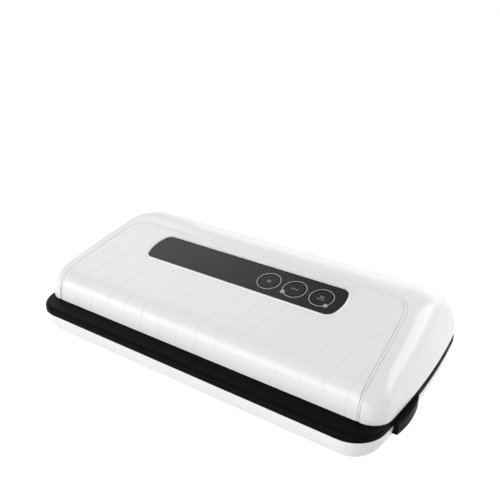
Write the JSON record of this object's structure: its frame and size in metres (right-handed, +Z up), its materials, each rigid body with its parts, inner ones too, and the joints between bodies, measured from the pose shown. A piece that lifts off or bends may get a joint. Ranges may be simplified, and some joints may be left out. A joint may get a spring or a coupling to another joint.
{
  "type": "vacuum sealer",
  "caption": "Counter-top bag sealer with a rear-hinged white lid over a black deck, side release buttons, push keys, pump, gaskets and a heated sealing bar.",
  "frame": {"origin": "middle of the footprint, on the surface that the feet stand on", "axes": "+X along the length, towards the keys' end; +Y to the rear, where the hinge is; +Z up"},
  "size_m": [0.3768, 0.1984, 0.0811],
  "materials": {
    "white_gloss": "glossy white moulding",
    "black_satin": "satin black moulding",
    "panel_gloss": "glossy black panel",
    "black_inner": "fine matte moulding",
    "lens_clear": "diffusing lens",
    "foam_dark": "closed-cell foam",
    "foam_pad": "silicone pad",
    "heater_metal": "extruded",
    "strip_metal": "thin resistance ribbon",
    "tape_tan": "coated woven tape",
    "steel": "plain",
    "motor_can": "drawn can",
    "board_green": "coated board",
    "hose_clear": "soft tube",
    "winding": "wound core",
    "capacitor_sleeve": "sleeved can",
    "rubber_grey": "soft foot"
  },
  "bodies": {
    "base": {"lower_housing": "white_gloss", "base_deck": "black_satin", "rubber_feet": "rubber_grey", "lower_gasket": "foam_dark", "heater_bar": "heater_metal", "heating_strip": "strip_metal", "release_tape": "tape_tan", "supply_board": "board_green", "transformer": "winding", "capacitors": "capacitor_sleeve", "power_inlet": "black_inner", "housing_screws": "steel", "hinge_pin_right": "steel", "hinge_pin_left": "steel", "button_spring_right": "steel", "button_spring_left": "steel"},
    "lid": {"lid_cover": "white_gloss", "lid_plate": "black_inner", "control_panel": "panel_gloss", "indicator_lenses": "lens_clear", "control_board": "board_green", "tact_switches": "black_inner", "upper_gasket": "foam_dark", "seal_pad": "foam_pad", "pump_motor": "motor_can", "pump_head": "black_inner", "motor_cradle": "black_inner", "suction_hose": "hose_clear", "suction_nozzle": "black_inner", "lid_screws": "steel"},
    "release_right": {"release_button_right": "black_satin"},
    "release_left": {"release_button_left": "black_satin"},
    "stop_key": {"stop_key": "panel_gloss"},
    "seal_key": {"seal_key": "panel_gloss"},
    "vacuum_key": {"vacuum_key": "panel_gloss"},
    "pump_rotor": {"pump_rotor": "steel"}
  },
  "joints": [
    {"name": "lid_hinge", "type": "hinge", "parent": "base", "child": "lid", "pos_m": [0, 0.094, 0.039], "axis": [-1, 0, 0], "range_deg": [0, 75]},
    {"name": "release_right_press", "type": "slide", "parent": "base", "child": "release_right", "axis": [-1, 0, 0], "range_m": [0, 0.003], "stiffness_N_per_m": 800, "springref_m": -0.001, "deforming": ["button_spring_right"]},
    {"name": "release_left_press", "type": "slide", "parent": "base", "child": "release_left", "axis": [1, 0, 0], "range_m": [0, 0.003], "stiffness_N_per_m": 800, "springref_m": -0.001, "deforming": ["button_spring_left"]},
    {"name": "stop_key_press", "type": "slide", "parent": "lid", "child": "stop_key", "axis": [0, 0.2079, -0.9781], "range_m": [0, 0.0004], "stiffness_N_per_m": 2000, "springref_m": -0.0003},
    {"name": "seal_key_press", "type": "slide", "parent": "lid", "child": "seal_key", "axis": [0, 0.2079, -0.9781], "range_m": [0, 0.0004], "stiffness_N_per_m": 2000, "springref_m": -0.0003},
    {"name": "vacuum_key_press", "type": "slide", "parent": "lid", "child": "vacuum_key", "axis": [0, 0.2079, -0.9781], "range_m": [0, 0.0004], "stiffness_N_per_m": 2000, "springref_m": -0.0003},
    {"name": "pump_spin", "type": "hinge", "parent": "lid", "child": "pump_rotor", "pos_m": [0.02, 0.046, 0.053], "axis": [1, 0, 0], "continuous": true}
  ]
}
